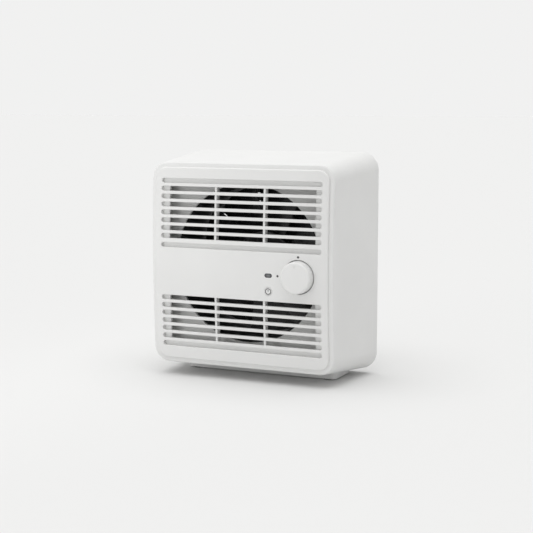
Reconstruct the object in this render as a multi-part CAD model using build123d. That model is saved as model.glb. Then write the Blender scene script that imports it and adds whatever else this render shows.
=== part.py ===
from build123d import *
import os
from math import atan2, cos, degrees, radians, sin, sqrt

os.makedirs("parts", exist_ok=True)

# Compact box fan. Millimetres, +Z up, the front faces -Y, the floor is Z = 0.
# X = 0 is the middle of the width and Y = 0 the middle of the overall depth.

# Body, with the width, height and corner of its front. The sleeve widens towards the back.
WIDTH = 220.0
HEIGHT = 226.0
CASE_DEPTH = 104.5
FLARE = 10.4
CORNER_R = 18.0
REAR_CORNER_R = 20.2
WALL = 2.8
CROWN = 5.0
FRONT_EDGE_R = 2.5
REAR_EDGE_R = 1.5
FOOT_HEIGHT = 15.0

# Front panel, which laps over the rim of the casing
RIM_LEDGE = 5.3
LAP = 1.4
LAP_GAP = 0.1
LIP = 3.0
PANEL_PROUD = 2.5
PANEL_WALL = 3.0
PANEL_EDGE_R = 1.8
SKIRT_WALL = 2.0
SKIRT_DEPTH = 7.0
SNAP_GAP = 0.3

# Front grille: rows of slots above and below a blank band
SIDE_MARGIN = 7.7
TOP_MARGIN = 15.1
BOTTOM_MARGIN = 16.9
BAND = 59.2
SILL_GAP = 1.3
UPPER_ROWS = 8
LOWER_ROWS = 7
SLOT_SHARE = 0.615
SLOT_MOUTH_R = 0.5
GRILLE_DEPTH = 8.0
POCKET_DEPTH = 4.5
BLIND_END = 8.5
WINDOW_DROP = 1.0
RIB_WIDTH = 2.2
RIB_RECESS = 1.0

# Dial, lamp and button on the band
DIAL_FROM_SIDE = 39.5
DIAL_ABOVE_MIDDLE = 1.5
DIAL_D = 35.8
DIAL_FACE_D = 34.4
DIAL_EDGE_R = 2.2
DIAL_PROUD = 10.0
DIAL_GAP = 0.8
DIAL_RECESS = 5.0
DIAL_NOTCH = (1.1, 3.6, 0.6)
DIAL_NOTCH_R = 12.4
LAMP_FROM_DIAL = 35.2
LENS_SIZE = (9.0, 4.8)
BUTTON_BELOW_LAMP = 17.3
BUTTON_D = 8.4
BUTTON_FLANGE_D = 11.0
BUTTON_GAP = 0.3
BUTTON_PROUD = 0.3
BUTTON_TRAVEL = 0.8
CLEARANCE = 0.3
RUNNING_FIT = 0.04

# Control board behind the band
BOARD_T = 1.6
BOARD_BEHIND_RIM = 8.5
BOARD_EDGE = 4.7
BOARD_HOLE_INSET = 4.0
SWITCH_SIZE = (22.0, 22.0, 8.0)
SPINDLE_D = 6.0
SPINDLE_FLAT = 4.5

# Shroud plate and fan
SHROUD_BEHIND_RIM = 14.5
SHROUD_T = 2.5
DUCT_MARGIN = 21.5
DUCT_RISE = 2.0
DUCT_FLARE = 2.5
DUCT_WALL = 2.2
TIP_CLEARANCE = 2.5
BLADES = 9
BLADE_T = 2.6
BLADE_CHORDS = (42.0, 58.0, 74.0)
BLADE_PITCHES = (32.0, 25.0, 19.0)
BLADE_CAMBERS = (2.0, 3.0, 3.0)
HUB_D = 68.0
HUB_DEPTH = 27.0
HUB_BEHIND_SHROUD = 42.0
HUB_WALL = 2.5
STRUT_W = 6.0
STRUT_DEPTH = 6.0
SHAFT_D = 5.0

# Rear cover and power inlet
COVER_T = 3.5
COVER_INSET = 1.0
COVER_GAP = 0.4
INTAKE_SLOT = 4.0
INLET_FROM_SIDE = 50.0
INLET_FROM_BOTTOM = 31.0

# Plinth and pads
PLINTH_INSET = 17.5
PLINTH_DEPTH = 48.0
PLINTH_Y = 26.0
PLINTH_CORNER_R = 6.0
PLINTH_WALL = 2.5
PLINTH_SEAT_T = 2.5
PAD_D = 12.0
PAD_T = 2.0
PAD_SHOWS = 1.0
PAD_INSET = 8.0

# Fasteners
SCREW_D = 3.0
HEAD_D = 5.6
HEAD_H = 1.8
THREAD_GAP = 0.05
SCREW_BITE = 9.0
SMALL_SCREW_D = 2.2
SMALL_HEAD_D = 4.2
SMALL_HEAD_H = 1.4
BOSS_WALL = 3.0
POST_INSET = 14.0
LEAD_D = 2.4
LEAD_BEND = 3.0

# Depths worked out from the values above
OVERALL_DEPTH = CASE_DEPTH + CROWN + PANEL_PROUD + DIAL_PROUD
Y_BACK = OVERALL_DEPTH / 2
Y_RIM = Y_BACK - CASE_DEPTH
BODY_Z = FOOT_HEIGHT + HEIGHT / 2
FAN_Z = BODY_Z + DUCT_RISE
CROWN_R = (HEIGHT ** 2 / 4 + CROWN ** 2) / (2 * CROWN)
CROWN_Y = Y_RIM - CROWN + CROWN_R
PANEL_R = CROWN_R + PANEL_PROUD
Y_PANEL = CROWN_Y - PANEL_R
Y_DIAL_FACE = Y_PANEL - DIAL_PROUD
Y_BOARD = Y_RIM + BOARD_BEHIND_RIM
Y_SHROUD = Y_RIM + SHROUD_BEHIND_RIM
Y_SHROUD_BACK = Y_SHROUD + SHROUD_T
Y_HUB = Y_SHROUD_BACK + HUB_BEHIND_SHROUD
Y_HUB_BACK = Y_HUB + HUB_DEPTH
Y_MOTOR_BASE = Y_HUB_BACK + 0.8
Y_DUCT_BACK = Y_MOTOR_BASE + STRUT_DEPTH
DUCT_DEPTH = Y_DUCT_BACK - Y_SHROUD_BACK
Y_COVER_BACK = Y_BACK - COVER_INSET
Y_COVER = Y_COVER_BACK - COVER_T
Y_SKIRT_BACK = Y_RIM + SKIRT_DEPTH
FAR_FRONT = Y_RIM - 3 * CROWN - 2 * PANEL_PROUD

# Outlines and places worked out from the values above, from the middle of the body
PANEL = (WIDTH - 2 * RIM_LEDGE, HEIGHT - 2 * RIM_LEDGE, CORNER_R - RIM_LEDGE)
OPENING = (PANEL[0] - 2 * LAP, PANEL[1] - 2 * LAP, PANEL[2] - LAP)
SKIRT = (OPENING[0] - 2 * SNAP_GAP, OPENING[1] - 2 * SNAP_GAP, OPENING[2] - SNAP_GAP)
SLOT_LENGTH = PANEL[0] - 2 * SIDE_MARGIN
SLOT_SPAN = SLOT_LENGTH - 2 * BLIND_END
SLOT_PITCH = (PANEL[1] - TOP_MARGIN - BOTTOM_MARGIN - BAND - SILL_GAP) / (UPPER_ROWS + LOWER_ROWS - 1)
SLOT_HEIGHT = SLOT_SHARE * SLOT_PITCH
TOP_ROW = PANEL[1] / 2 - TOP_MARGIN
SILL_ROW = TOP_ROW - UPPER_ROWS * SLOT_PITCH - SILL_GAP
LOWER_TOP_ROW = SILL_ROW - BAND
BOTTOM_ROW = LOWER_TOP_ROW - (LOWER_ROWS - 1) * SLOT_PITCH
UPPER_OPEN = [TOP_ROW - i * SLOT_PITCH for i in range(1, UPPER_ROWS)]
LOWER_OPEN = [LOWER_TOP_ROW - i * SLOT_PITCH for i in range(LOWER_ROWS - 1)]
DIAL_X = WIDTH / 2 - DIAL_FROM_SIDE
DIAL_Z = (SILL_ROW + LOWER_TOP_ROW) / 2 + DIAL_ABOVE_MIDDLE
DIAL_CUP_D = DIAL_D + 2 * DIAL_GAP + 2 * SKIRT_WALL
LENS_X = DIAL_X - LAMP_FROM_DIAL
LENS_Z = DIAL_Z
BUTTON_X = LENS_X
BUTTON_Z = LENS_Z - BUTTON_BELOW_LAMP
POST_R = SCREW_D / 2 + BOSS_WALL
POSTS = [(sx * (WIDTH / 2 - POST_INSET), sz * (HEIGHT / 2 - POST_INSET)) for sx in (-1, 1) for sz in (-1, 1)]
BOSS_R = SMALL_SCREW_D / 2 + 1.9
BOARD_LEFT = BUTTON_X - BUTTON_FLANGE_D / 2 - BOSS_R - 1.0 - BOARD_HOLE_INSET
BOARD_RIGHT = DIAL_X + DIAL_CUP_D / 2 + BOARD_EDGE
BOARD_TOP = DIAL_Z + DIAL_CUP_D / 2
BOARD_BOTTOM = BUTTON_Z - BUTTON_FLANGE_D / 2 - 1.2
BOARD_MIDDLE = ((BOARD_LEFT + BOARD_RIGHT) / 2, (BOARD_BOTTOM + BOARD_TOP) / 2)
BOARD_HOLES = [
    (x, z)
    for x in (BOARD_LEFT + BOARD_HOLE_INSET, BOARD_RIGHT - BOARD_HOLE_INSET)
    for z in (BOARD_BOTTOM + BOARD_HOLE_INSET, BOARD_TOP - BOARD_HOLE_INSET)
]
DUCT_D = min(WIDTH, HEIGHT) - 2 * DUCT_MARGIN
DUCT_THROAT_D = DUCT_D - 2 * DUCT_FLARE
INTAKE_D = DUCT_D - 1.0
EAR_REACH = DUCT_D / 2 + 17.0
EAR_HOLES = [
    (sx * EAR_REACH / sqrt(2), sz * EAR_REACH / sqrt(2) + DUCT_RISE) for sx in (-1, 1) for sz in (-1, 1)
]
EAR_BOSS_L = 8.0
EAR_T = 3.0
INLET_X = WIDTH / 2 - INLET_FROM_SIDE
INLET_Z = INLET_FROM_BOTTOM - HEIGHT / 2
PLINTH_WIDTH = WIDTH - 2 * PLINTH_INSET
PLINTH_SCREWS = [
    (sx * PLINTH_WIDTH * 0.32, PLINTH_Y + sy * PLINTH_DEPTH * 0.28) for sx in (-1, 1) for sy in (-1, 1)
]
PADS = [
    (sx * (PLINTH_WIDTH / 2 - PAD_INSET - 3), PLINTH_Y + sy * (PLINTH_DEPTH / 2 - PAD_INSET))
    for sx in (-1, 1) for sy in (-1, 1)
]
LEAD_X = WIDTH / 2 - WALL - 8.2
LEAD_Y = (Y_BOARD + BOARD_T + Y_SHROUD) / 2
INLET_LEAD_Z = BODY_Z + DIAL_Z - 9.0
TERMINAL_W = 8.0
TERMINAL_X = LEAD_X - 2 * LEAD_BEND


# Helpers

def along_y(sketch, y_front, y_back, z=BODY_Z):
    """Prism of a sketch drawn as seen from the front, about the middle of the body."""
    plane = Plane(origin=(0, y_back, z), x_dir=(1, 0, 0), z_dir=(0, -1, 0))
    return extrude(plane * sketch, amount=y_back - y_front)


def rod_y(diameter, x, z, y_front, y_back):
    """Round bar along Y at a place given from the middle of the body."""
    return along_y(Pos(x, z) * Circle(diameter / 2), y_front, y_back)


def fan_rod(diameter, y_front, y_back):
    """Round bar along Y on the fan's own axis."""
    return along_y(Circle(diameter / 2), y_front, y_back, FAN_Z)


def outline_at(y, inset=0.0):
    """Outline of the sleeve at a depth, or of a line that lies inside it by an inset."""
    share = (y - Y_RIM) / CASE_DEPTH
    grow = 2 * (FLARE * share - inset)
    radius = CORNER_R + (REAR_CORNER_R - CORNER_R) * share - inset
    return RectangleRounded(WIDTH + grow, HEIGHT + grow, radius)


def sleeve(y_front, y_back, inset=0.0):
    """Solid that fills the widening sleeve between two depths."""
    ends = []
    for y in (y_back, y_front):
        ends.append(Plane(origin=(0, y, BODY_Z), x_dir=(1, 0, 0), z_dir=(0, -1, 0)) * outline_at(y, inset))
    return loft(ends, ruled=True)


def underside(y):
    """Height of the sleeve's lower face at a depth."""
    return FOOT_HEIGHT - FLARE * (y - Y_RIM) / CASE_DEPTH


def crown(radius):
    """Everything that lies behind a surface of the crowned front."""
    return Pos(0, CROWN_Y, BODY_Z) * Rot(0, 90, 0) * Cylinder(radius, 2 * WIDTH)


def crown_y(z, radius):
    """Depth of a crowned surface at a height given from the middle of the body."""
    return CROWN_Y - sqrt(radius ** 2 - z ** 2)


def front_edges(solid):
    return solid.faces().sort_by(Axis.Y)[0].outer_wire().edges()


def back_edges(solid):
    return solid.faces().sort_by(Axis.Y)[-1].outer_wire().edges()


def screw_y(x, z, y_seat, into, thread=SCREW_D, head=(HEAD_D, HEAD_H), grip=0.0):
    """Pan head screw along Y. It goes from its seat towards into, which is -1 for the front."""
    length = grip + SCREW_BITE
    ends = sorted((y_seat, y_seat + into * length))
    shank = rod_y(thread - 2 * THREAD_GAP, x, z, *ends)
    ends = sorted((y_seat, y_seat - into * head[1]))
    cap = rod_y(head[0], x, z, *ends)
    cap = chamfer(back_edges(cap) if into < 0 else front_edges(cap), head[1] * 0.35)
    return shank + cap


def lead(points):
    """Insulated lead along a bent route."""
    route = FilletPolyline(*points, radius=LEAD_BEND)
    start = Plane(origin=route @ 0, z_dir=route % 0)
    return sweep(start * Circle(LEAD_D / 2), path=route)


def group(solids):
    return Compound(children=list(solids))


# Casing: one sleeve with a lip round the front opening and four posts from front to back

def casing():
    outer = sleeve(FAR_FRONT, Y_BACK) & crown(CROWN_R)
    outer = fillet(front_edges(outer), FRONT_EDGE_R)
    outer = fillet(back_edges(outer), REAR_EDGE_R)
    cavity = sleeve(FAR_FRONT, Y_BACK, WALL) & crown(CROWN_R - LIP)
    opening = along_y(RectangleRounded(*OPENING), FAR_FRONT, Y_BACK)
    shell = outer - cavity - opening
    envelope = sleeve(Y_SHROUD_BACK, Y_COVER, WALL / 2)
    web_length = CORNER_R + FLARE
    for x, z in POSTS:
        diagonal = degrees(atan2(z / abs(z), x / abs(x)))
        web = Pos(x, z) * Rot(0, 0, diagonal) * Pos(web_length / 2, 0) * Rectangle(web_length, BOSS_WALL)
        shell += along_y(web, Y_SHROUD_BACK, Y_COVER) & envelope
        shell += rod_y(2 * POST_R, x, z, Y_SHROUD_BACK, Y_COVER)
    for x, z in POSTS:
        shell -= rod_y(SCREW_D, x, z, Y_SHROUD_BACK, Y_SHROUD_BACK + SCREW_BITE + 2)
        shell -= rod_y(SCREW_D, x, z, Y_COVER - SCREW_BITE - 2, Y_COVER)
    low = (Align.CENTER, Align.CENTER, Align.MIN)
    for x, y in PLINTH_SCREWS:
        shell += Pos(x, y, 0) * Cylinder(POST_R, underside(y) + WALL + SCREW_BITE, align=low) & envelope
    for x, y in PLINTH_SCREWS:
        shell -= Pos(x, y, 0) * Cylinder(SCREW_D / 2, underside(y) + WALL + SCREW_BITE - 1, align=low)
    return shell


# Front panel: a crowned plate with stepped slots, snap hooks and board pillars

def grille_block(z_top, z_bottom):
    """Thick part behind one field of slots."""
    margin = SLOT_PITCH - SLOT_HEIGHT / 2
    height = z_top - z_bottom + 2 * margin
    outline = Pos(0, (z_top + z_bottom) / 2) * Rectangle(SKIRT[0], height)
    outline &= RectangleRounded(*(size - SKIRT_WALL for size in SKIRT[:2]), SKIRT[2] - SKIRT_WALL / 2)
    block = along_y(outline, FAR_FRONT, Y_SHROUD) & crown(PANEL_R - PANEL_WALL / 2)
    return block - crown(PANEL_R - GRILLE_DEPTH)


def slot_pockets():
    """Every row as a blind groove with round ends."""
    rows = UPPER_OPEN + LOWER_OPEN + [TOP_ROW, SILL_ROW, BOTTOM_ROW]
    slots = Sketch() + [Pos(0, z) * SlotOverall(SLOT_LENGTH, SLOT_HEIGHT) for z in rows]
    return along_y(slots, FAR_FRONT, Y_SHROUD) - crown(PANEL_R - POCKET_DEPTH)


def slot_windows():
    """Openings through the grooves. They are taller than the groove, so the bars thin towards the back."""
    height = SLOT_HEIGHT + WINDOW_DROP
    rows = UPPER_OPEN + LOWER_OPEN
    panes = Sketch() + [Pos(0, z - WINDOW_DROP / 2) * Rectangle(SLOT_SPAN, height) for z in rows]
    return along_y(panes, FAR_FRONT, Y_SHROUD) & crown(PANEL_R - POCKET_DEPTH * 0.9)


def grille_ribs():
    """Two upright ribs that tie the bars of each field together."""
    ribs = Sketch()
    for rows in (UPPER_OPEN, LOWER_OPEN):
        top = rows[0] + SLOT_HEIGHT / 2 + 1
        bottom = rows[-1] - SLOT_HEIGHT / 2 - WINDOW_DROP - 0.5
        for x in (-SLOT_SPAN / 6, SLOT_SPAN / 6):
            ribs += Pos(x, (top + bottom) / 2) * Rectangle(RIB_WIDTH, top - bottom)
    return (along_y(ribs, FAR_FRONT, Y_SHROUD) & crown(PANEL_R - RIB_RECESS)) - crown(PANEL_R - GRILLE_DEPTH)


def snap_hooks():
    """Hooks on the skirt that catch behind the casing's lip."""
    length, reach, depth = 16.0, 1.4, 2.0
    hooks = []
    for side in (-1, 1):
        for place in (-0.28, 0.28):
            z = place * HEIGHT
            y = max(crown_y(z + s * length / 2, CROWN_R - LIP) for s in (-1, 1)) + SNAP_GAP
            outline = Pos(side * (SKIRT[0] / 2 + reach / 2 - 0.5), z) * Rectangle(reach + 1, length)
            hooks.append(along_y(outline, y, y + depth))
            z = side * (SKIRT[1] / 2 + reach / 2 - 0.5)
            y = crown_y(SKIRT[1] / 2 + reach, CROWN_R - LIP) + SNAP_GAP
            outline = Pos(place * WIDTH, z) * Rectangle(length, reach + 1)
            hooks.append(along_y(outline, y, y + depth))
    return hooks


def front_panel():
    plate = along_y(RectangleRounded(*PANEL), FAR_FRONT, Y_SKIRT_BACK) & crown(PANEL_R)
    plate = fillet(front_edges(plate), PANEL_EDGE_R) - crown(CROWN_R + LAP_GAP)
    skirt = along_y(RectangleRounded(*SKIRT), FAR_FRONT, Y_SKIRT_BACK) & crown(PANEL_R - PANEL_WALL / 2)
    inner = RectangleRounded(*(size - 2 * SKIRT_WALL for size in SKIRT[:2]), SKIRT[2] - SKIRT_WALL)
    skirt -= along_y(inner, FAR_FRONT, Y_SKIRT_BACK) & crown(PANEL_R - PANEL_WALL)
    panel = plate + skirt
    panel += grille_block(TOP_ROW, SILL_ROW)
    panel += grille_block(LOWER_TOP_ROW, BOTTOM_ROW)
    panel -= slot_pockets()
    mouths = panel.faces().sort_by(Axis.Y)[0].inner_wires()
    panel = fillet([edge for wire in mouths for edge in wire.edges()], SLOT_MOUTH_R)
    panel -= slot_windows()
    panel += grille_ribs()
    cup_back = Y_PANEL + DIAL_RECESS + PANEL_WALL * 0.7
    panel += rod_y(DIAL_CUP_D, DIAL_X, DIAL_Z, Y_PANEL + PANEL_WALL * 0.7, cup_back)
    panel -= rod_y(DIAL_D + 2 * DIAL_GAP, DIAL_X, DIAL_Z, FAR_FRONT, Y_PANEL + DIAL_RECESS)
    panel -= rod_y(SPINDLE_D + 4, DIAL_X, DIAL_Z, FAR_FRONT, cup_back)
    panel -= along_y(Pos(LENS_X, LENS_Z) * SlotOverall(*LENS_SIZE), FAR_FRONT, Y_BOARD)
    for x, z in BOARD_HOLES:
        panel += rod_y(2 * BOSS_R, x, z, crown_y(z, PANEL_R - PANEL_WALL / 2), Y_BOARD)
        panel -= rod_y(SMALL_SCREW_D, x, z, Y_BOARD - SCREW_BITE, Y_BOARD)
    behind = crown_y(BUTTON_Z, PANEL_R - PANEL_WALL)
    panel -= rod_y(BUTTON_FLANGE_D + 2 * CLEARANCE, BUTTON_X, BUTTON_Z, behind, Y_BOARD)
    panel -= rod_y(BUTTON_D + 2 * BUTTON_GAP, BUTTON_X, BUTTON_Z, FAR_FRONT, Y_BOARD)
    for hook in snap_hooks():
        panel += hook
    return panel


# Dial, spindle, lamp lens and power button

def dial_knob():
    base_y = Y_PANEL + DIAL_RECESS - CLEARANCE - 0.3
    height = base_y - Y_DIAL_FACE
    plane = Plane(origin=(DIAL_X, base_y, BODY_Z + DIAL_Z), x_dir=(1, 0, 0), z_dir=(0, -1, 0))
    knob = loft([plane * Circle(DIAL_D / 2), plane.offset(height) * Circle(DIAL_FACE_D / 2)])
    knob = fillet(front_edges(knob), DIAL_EDGE_R)
    hollow_y = Y_DIAL_FACE + 3.0
    knob -= rod_y(DIAL_D - 6, DIAL_X, DIAL_Z, hollow_y, base_y)
    knob += rod_y(SPINDLE_D + 5, DIAL_X, DIAL_Z, Y_DIAL_FACE + 2, base_y)
    knob -= spindle_bar(Y_DIAL_FACE + 5, base_y)
    width, length, depth = DIAL_NOTCH
    notch = Pos(DIAL_X, DIAL_Z + DIAL_NOTCH_R) * SlotOverall(length, width, rotation=90)
    return knob - along_y(notch, Y_DIAL_FACE - 1, Y_DIAL_FACE + depth)


def spindle_bar(y_front, y_back):
    """D section that the dial is pressed on."""
    section = Circle(SPINDLE_D / 2) - Pos(0, SPINDLE_FLAT) * Rectangle(SPINDLE_D, SPINDLE_D)
    return along_y(Pos(DIAL_X, DIAL_Z) * section, y_front, y_back)


def dial_spindle():
    seat = Y_PANEL + DIAL_RECESS - CLEARANCE - 0.3
    bar = spindle_bar(Y_DIAL_FACE + 5, seat)
    return bar + rod_y(SPINDLE_D, DIAL_X, DIAL_Z, seat, Y_BOARD - 3)


def rotary_switch():
    y_front = Y_BOARD - SWITCH_SIZE[2]
    body = along_y(Pos(DIAL_X, DIAL_Z) * RectangleRounded(*SWITCH_SIZE[:2], 1.5), y_front, Y_BOARD)
    body += rod_y(SPINDLE_D + 3, DIAL_X, DIAL_Z, y_front - 2, y_front)
    return body - rod_y(SPINDLE_D + 2 * RUNNING_FIT, DIAL_X, DIAL_Z, FAR_FRONT, Y_BOARD - 3 + CLEARANCE)


def indicator_lens():
    outline = Pos(LENS_X, LENS_Z) * SlotOverall(*LENS_SIZE)
    return along_y(outline, FAR_FRONT, Y_PANEL + PANEL_WALL) & crown(PANEL_R - 0.2)


def indicator_led():
    y_tip = Y_PANEL + PANEL_WALL + 0.6
    led = rod_y(3.0, LENS_X, LENS_Z, y_tip, Y_BOARD - 7)
    led = fillet(front_edges(led), 1.2)
    return led + rod_y(4.4, LENS_X, LENS_Z, Y_BOARD - 7, Y_BOARD)


def tact_switch():
    body = along_y(Pos(BUTTON_X, BUTTON_Z) * Rectangle(6, 6), Y_BOARD - 3.5, Y_BOARD)
    return body + rod_y(3.4, BUTTON_X, BUTTON_Z, Y_BOARD - 4.3, Y_BOARD - 3.5)


def power_button():
    face = crown_y(BUTTON_Z, PANEL_R) - BUTTON_PROUD
    behind = crown_y(BUTTON_Z, PANEL_R - PANEL_WALL) + CLEARANCE + 0.2
    tip = Y_BOARD - 4.3 - CLEARANCE - BUTTON_TRAVEL
    cap = fillet(front_edges(rod_y(BUTTON_D, BUTTON_X, BUTTON_Z, face, behind)), 0.5)
    cap += rod_y(BUTTON_FLANGE_D, BUTTON_X, BUTTON_Z, behind, behind + 1.2)
    return cap + rod_y(3.4, BUTTON_X, BUTTON_Z, behind + 1.2, tip)


def control_board():
    size = (BOARD_RIGHT - BOARD_LEFT, BOARD_TOP - BOARD_BOTTOM)
    board = along_y(Pos(*BOARD_MIDDLE) * RectangleRounded(*size, 2), Y_BOARD, Y_BOARD + BOARD_T)
    for x, z in BOARD_HOLES:
        board -= rod_y(SMALL_SCREW_D, x, z, Y_BOARD, Y_BOARD + BOARD_T)
    for z in (INLET_LEAD_Z, FAN_Z):
        block = Pos(TERMINAL_X - TERMINAL_W / 2, z - BODY_Z) * Rectangle(TERMINAL_W, 5)
        board += along_y(block, Y_BOARD + BOARD_T, LEAD_Y + LEAD_D / 2 + 0.4)
    return board


# Shroud plate and fan frame

def shroud_plate():
    outline = RectangleRounded(*(size - 1 for size in OPENING[:2]), OPENING[2])
    plate = along_y(outline, Y_SHROUD, Y_SHROUD_BACK)
    plate -= along_y(Circle(DUCT_D / 2), Y_SHROUD, Y_SHROUD_BACK, FAN_Z)
    for x, z in POSTS:
        plate -= rod_y(SCREW_D + 0.4, x, z, Y_SHROUD, Y_SHROUD_BACK)
    for x, z in EAR_HOLES:
        plate += rod_y(2 * POST_R, x, z, Y_SHROUD_BACK, Y_SHROUD_BACK + EAR_BOSS_L)
        plate -= rod_y(SCREW_D, x, z, Y_SHROUD_BACK, Y_SHROUD_BACK + EAR_BOSS_L)
    for z in (INLET_LEAD_Z, FAN_Z):
        plate -= rod_y(LEAD_D + 1.2, LEAD_X, z - BODY_Z, Y_SHROUD, Y_SHROUD_BACK)
    return plate


def fan_frame():
    throat = DUCT_THROAT_D / 2
    mouth = DUCT_D / 2
    skin = throat + DUCT_WALL
    flare = mouth - throat
    profile = Polyline(
        (mouth, 0), (mouth + DUCT_WALL, 0), (skin, flare * 2), (skin, DUCT_DEPTH), (throat, DUCT_DEPTH),
        (throat, flare * 2), close=True,
    )
    plane = Plane(origin=(0, Y_SHROUD_BACK, FAN_Z), x_dir=(1, 0, 0), z_dir=(0, 0, 1))
    ring = revolve(plane * make_face(profile), Axis((0, 0, FAN_Z), (0, 1, 0)))
    frame = ring + fan_rod(STATOR_D + 4, Y_MOTOR_BASE, Y_TUBE_BACK)
    start, end = STATOR_D / 2 - 5, throat + 1
    strut = Pos((start + end) / 2, 0) * Rectangle(end - start, STRUT_W)
    for i in range(4):
        frame += along_y(Rot(0, 0, 90 * i) * strut, Y_MOTOR_BASE, Y_DUCT_BACK, FAN_Z)
    ear_y = Y_SHROUD_BACK + EAR_BOSS_L
    arm = Pos((skin + EAR_REACH) / 2 - 0.5, 0) * Rectangle(EAR_REACH - skin + 1, 2 * POST_R)
    for x, z in EAR_HOLES:
        angle = degrees(atan2(z - DUCT_RISE, x))
        frame += along_y(Rot(0, 0, angle) * arm, ear_y, ear_y + EAR_T, FAN_Z)
        frame += rod_y(2 * POST_R, x, z, ear_y, ear_y + EAR_T)
    for x, z in EAR_HOLES:
        frame -= rod_y(SCREW_D + 0.4, x, z, ear_y, ear_y + EAR_T)
    frame -= fan_rod(TUBE_D, Y_MOTOR_BASE, Y_DUCT_BACK)
    frame -= rod_y(LEAD_D + 1.2, MOTOR_LEAD_X, DUCT_RISE, Y_MOTOR_BASE, Y_DUCT_BACK)
    return frame


# Brushless motor: the wound stator stands on the frame and the cup turns with the impeller

TUBE_D = 16.0
BEARING_D = 13.0
BEARING_W = 4.0
YOKE_WALL = 1.5
MAGNET_WALL = 3.5
AIR_GAP = 0.5
STACK = 13.0
TEETH = 9
TOOTH_W = 5.0
COIL_BUILD = 1.6
MOTOR_LEAD_X = 19.0
YOKE_D = HUB_D - 2 * HUB_WALL
STATOR_D = YOKE_D - 2 * YOKE_WALL - 2 * MAGNET_WALL - 2 * AIR_GAP
Y_STACK = Y_HUB + HUB_WALL + YOKE_WALL + COIL_BUILD + 0.8
Y_TUBE = Y_STACK + 1.0
Y_TUBE_BACK = Y_MOTOR_BASE + 3.5
Y_MOTOR_BOARD = Y_STACK + STACK + COIL_BUILD + 1.2


def bearing_tube():
    return fan_rod(TUBE_D, Y_TUBE, Y_TUBE_BACK) - fan_rod(BEARING_D, Y_TUBE, Y_TUBE_BACK)


def bearing(y_front):
    ring = fan_rod(BEARING_D, y_front, y_front + BEARING_W)
    return ring - fan_rod(SHAFT_D + 2 * RUNNING_FIT, y_front, y_front + BEARING_W)


def stator_core():
    shoe = Circle(STATOR_D / 2) - Circle(STATOR_D / 2 - 3)
    spread = 360 / TEETH - 8
    keep = Sketch()
    teeth = Sketch()
    for i in range(TEETH):
        turn = Rot(0, 0, i * 360 / TEETH)
        corner = STATOR_D * tan_deg(spread / 2)
        keep += turn * make_face(Polyline((0, 0), (STATOR_D, -corner), (STATOR_D, corner), close=True))
        teeth += turn * Pos(STATOR_D / 4 + 1, 0) * Rectangle(STATOR_D / 2 - 4, TOOTH_W)
    section = (shoe & keep) + teeth + Circle(TUBE_D / 2 + 3) - Circle(TUBE_D / 2)
    return along_y(section, Y_STACK, Y_STACK + STACK, FAN_Z)


def tan_deg(angle):
    return sin(radians(angle)) / cos(radians(angle))


def stator_coils():
    inner, outer = TUBE_D / 2 + 4.2, STATOR_D / 2 - 3.4
    length = outer - inner
    y_back = Y_STACK + STACK
    coils = []
    for i in range(TEETH):
        place = Rot(0, 0, i * 360 / TEETH) * Pos((inner + outer) / 2, 0)
        outline = place * Rectangle(length, TOOTH_W + 2 * COIL_BUILD)
        wound = along_y(outline, Y_STACK - COIL_BUILD, y_back + COIL_BUILD, FAN_Z)
        tooth = place * Rectangle(length + 1, TOOTH_W)
        coils.append(wound - along_y(tooth, Y_STACK, y_back, FAN_Z))
    return group(coils)


def motor_board():
    disc = fan_rod(STATOR_D - 6, Y_MOTOR_BOARD, Y_MOTOR_BACK)
    return disc - fan_rod(TUBE_D, Y_MOTOR_BOARD, Y_MOTOR_BACK)


Y_MOTOR_BACK = Y_MOTOR_BOARD + BOARD_T


def blade_section(radius, chord, pitch, camber):
    """Thin cambered section square to the radius, with its leading edge towards the back."""
    half, edge, bulge = chord / 2, BLADE_T * 0.25, BLADE_T / 2
    upper = ThreePointArc((-half, edge), (0, camber + bulge), (half, edge))
    lower = ThreePointArc((half, -edge), (0, camber - bulge), (-half, -edge))
    outline = upper + Line(upper @ 1, lower @ 0) + lower + Line(lower @ 1, upper @ 0)
    plane = Plane(origin=(radius, Y_HUB + HUB_DEPTH / 2, FAN_Z), x_dir=(0, 0, 1), z_dir=(1, 0, 0))
    return plane * Rot(0, 0, -pitch) * make_face(outline)


def impeller():
    tip = DUCT_THROAT_D / 2 - TIP_CLEARANCE
    hub = fillet(front_edges(fan_rod(HUB_D, Y_HUB, Y_HUB_BACK)), 4)
    root = HUB_D / 2
    radii = (root * 0.7, (root + tip) / 2, tip + 4)
    stations = zip(radii, BLADE_CHORDS, BLADE_PITCHES, BLADE_CAMBERS)
    blade = loft([blade_section(*values) for values in stations])
    blade = blade & fan_rod(2 * tip, Y_HUB, Y_HUB_BACK)
    blade -= fan_rod(HUB_D - HUB_WALL, FAR_FRONT, Y_BACK)
    axis = Axis((0, 0, FAN_Z), (0, 1, 0))
    for i in range(BLADES):
        hub += blade.rotate(axis, i * 360 / BLADES)
    hub -= fan_rod(YOKE_D, Y_HUB + HUB_WALL, Y_HUB_BACK)
    hub += fan_rod(SHAFT_D + 5, Y_HUB + 1, Y_HUB + HUB_WALL + 3)
    return hub - fan_rod(SHAFT_D, Y_HUB + HUB_WALL, Y_HUB_BACK)


def rotor_yoke():
    y_front = Y_HUB + HUB_WALL
    cup = fan_rod(YOKE_D, y_front, Y_HUB_BACK - 2)
    cup -= fan_rod(YOKE_D - 2 * YOKE_WALL, y_front + YOKE_WALL, Y_HUB_BACK)
    return cup - fan_rod(SHAFT_D + 7, y_front, Y_HUB_BACK)


def rotor_magnet():
    outer = YOKE_D - 2 * YOKE_WALL
    ring = fan_rod(outer, Y_STACK - 1, Y_STACK + STACK + 1)
    return ring - fan_rod(outer - 2 * MAGNET_WALL, Y_STACK - 1, Y_STACK + STACK + 1)


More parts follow.
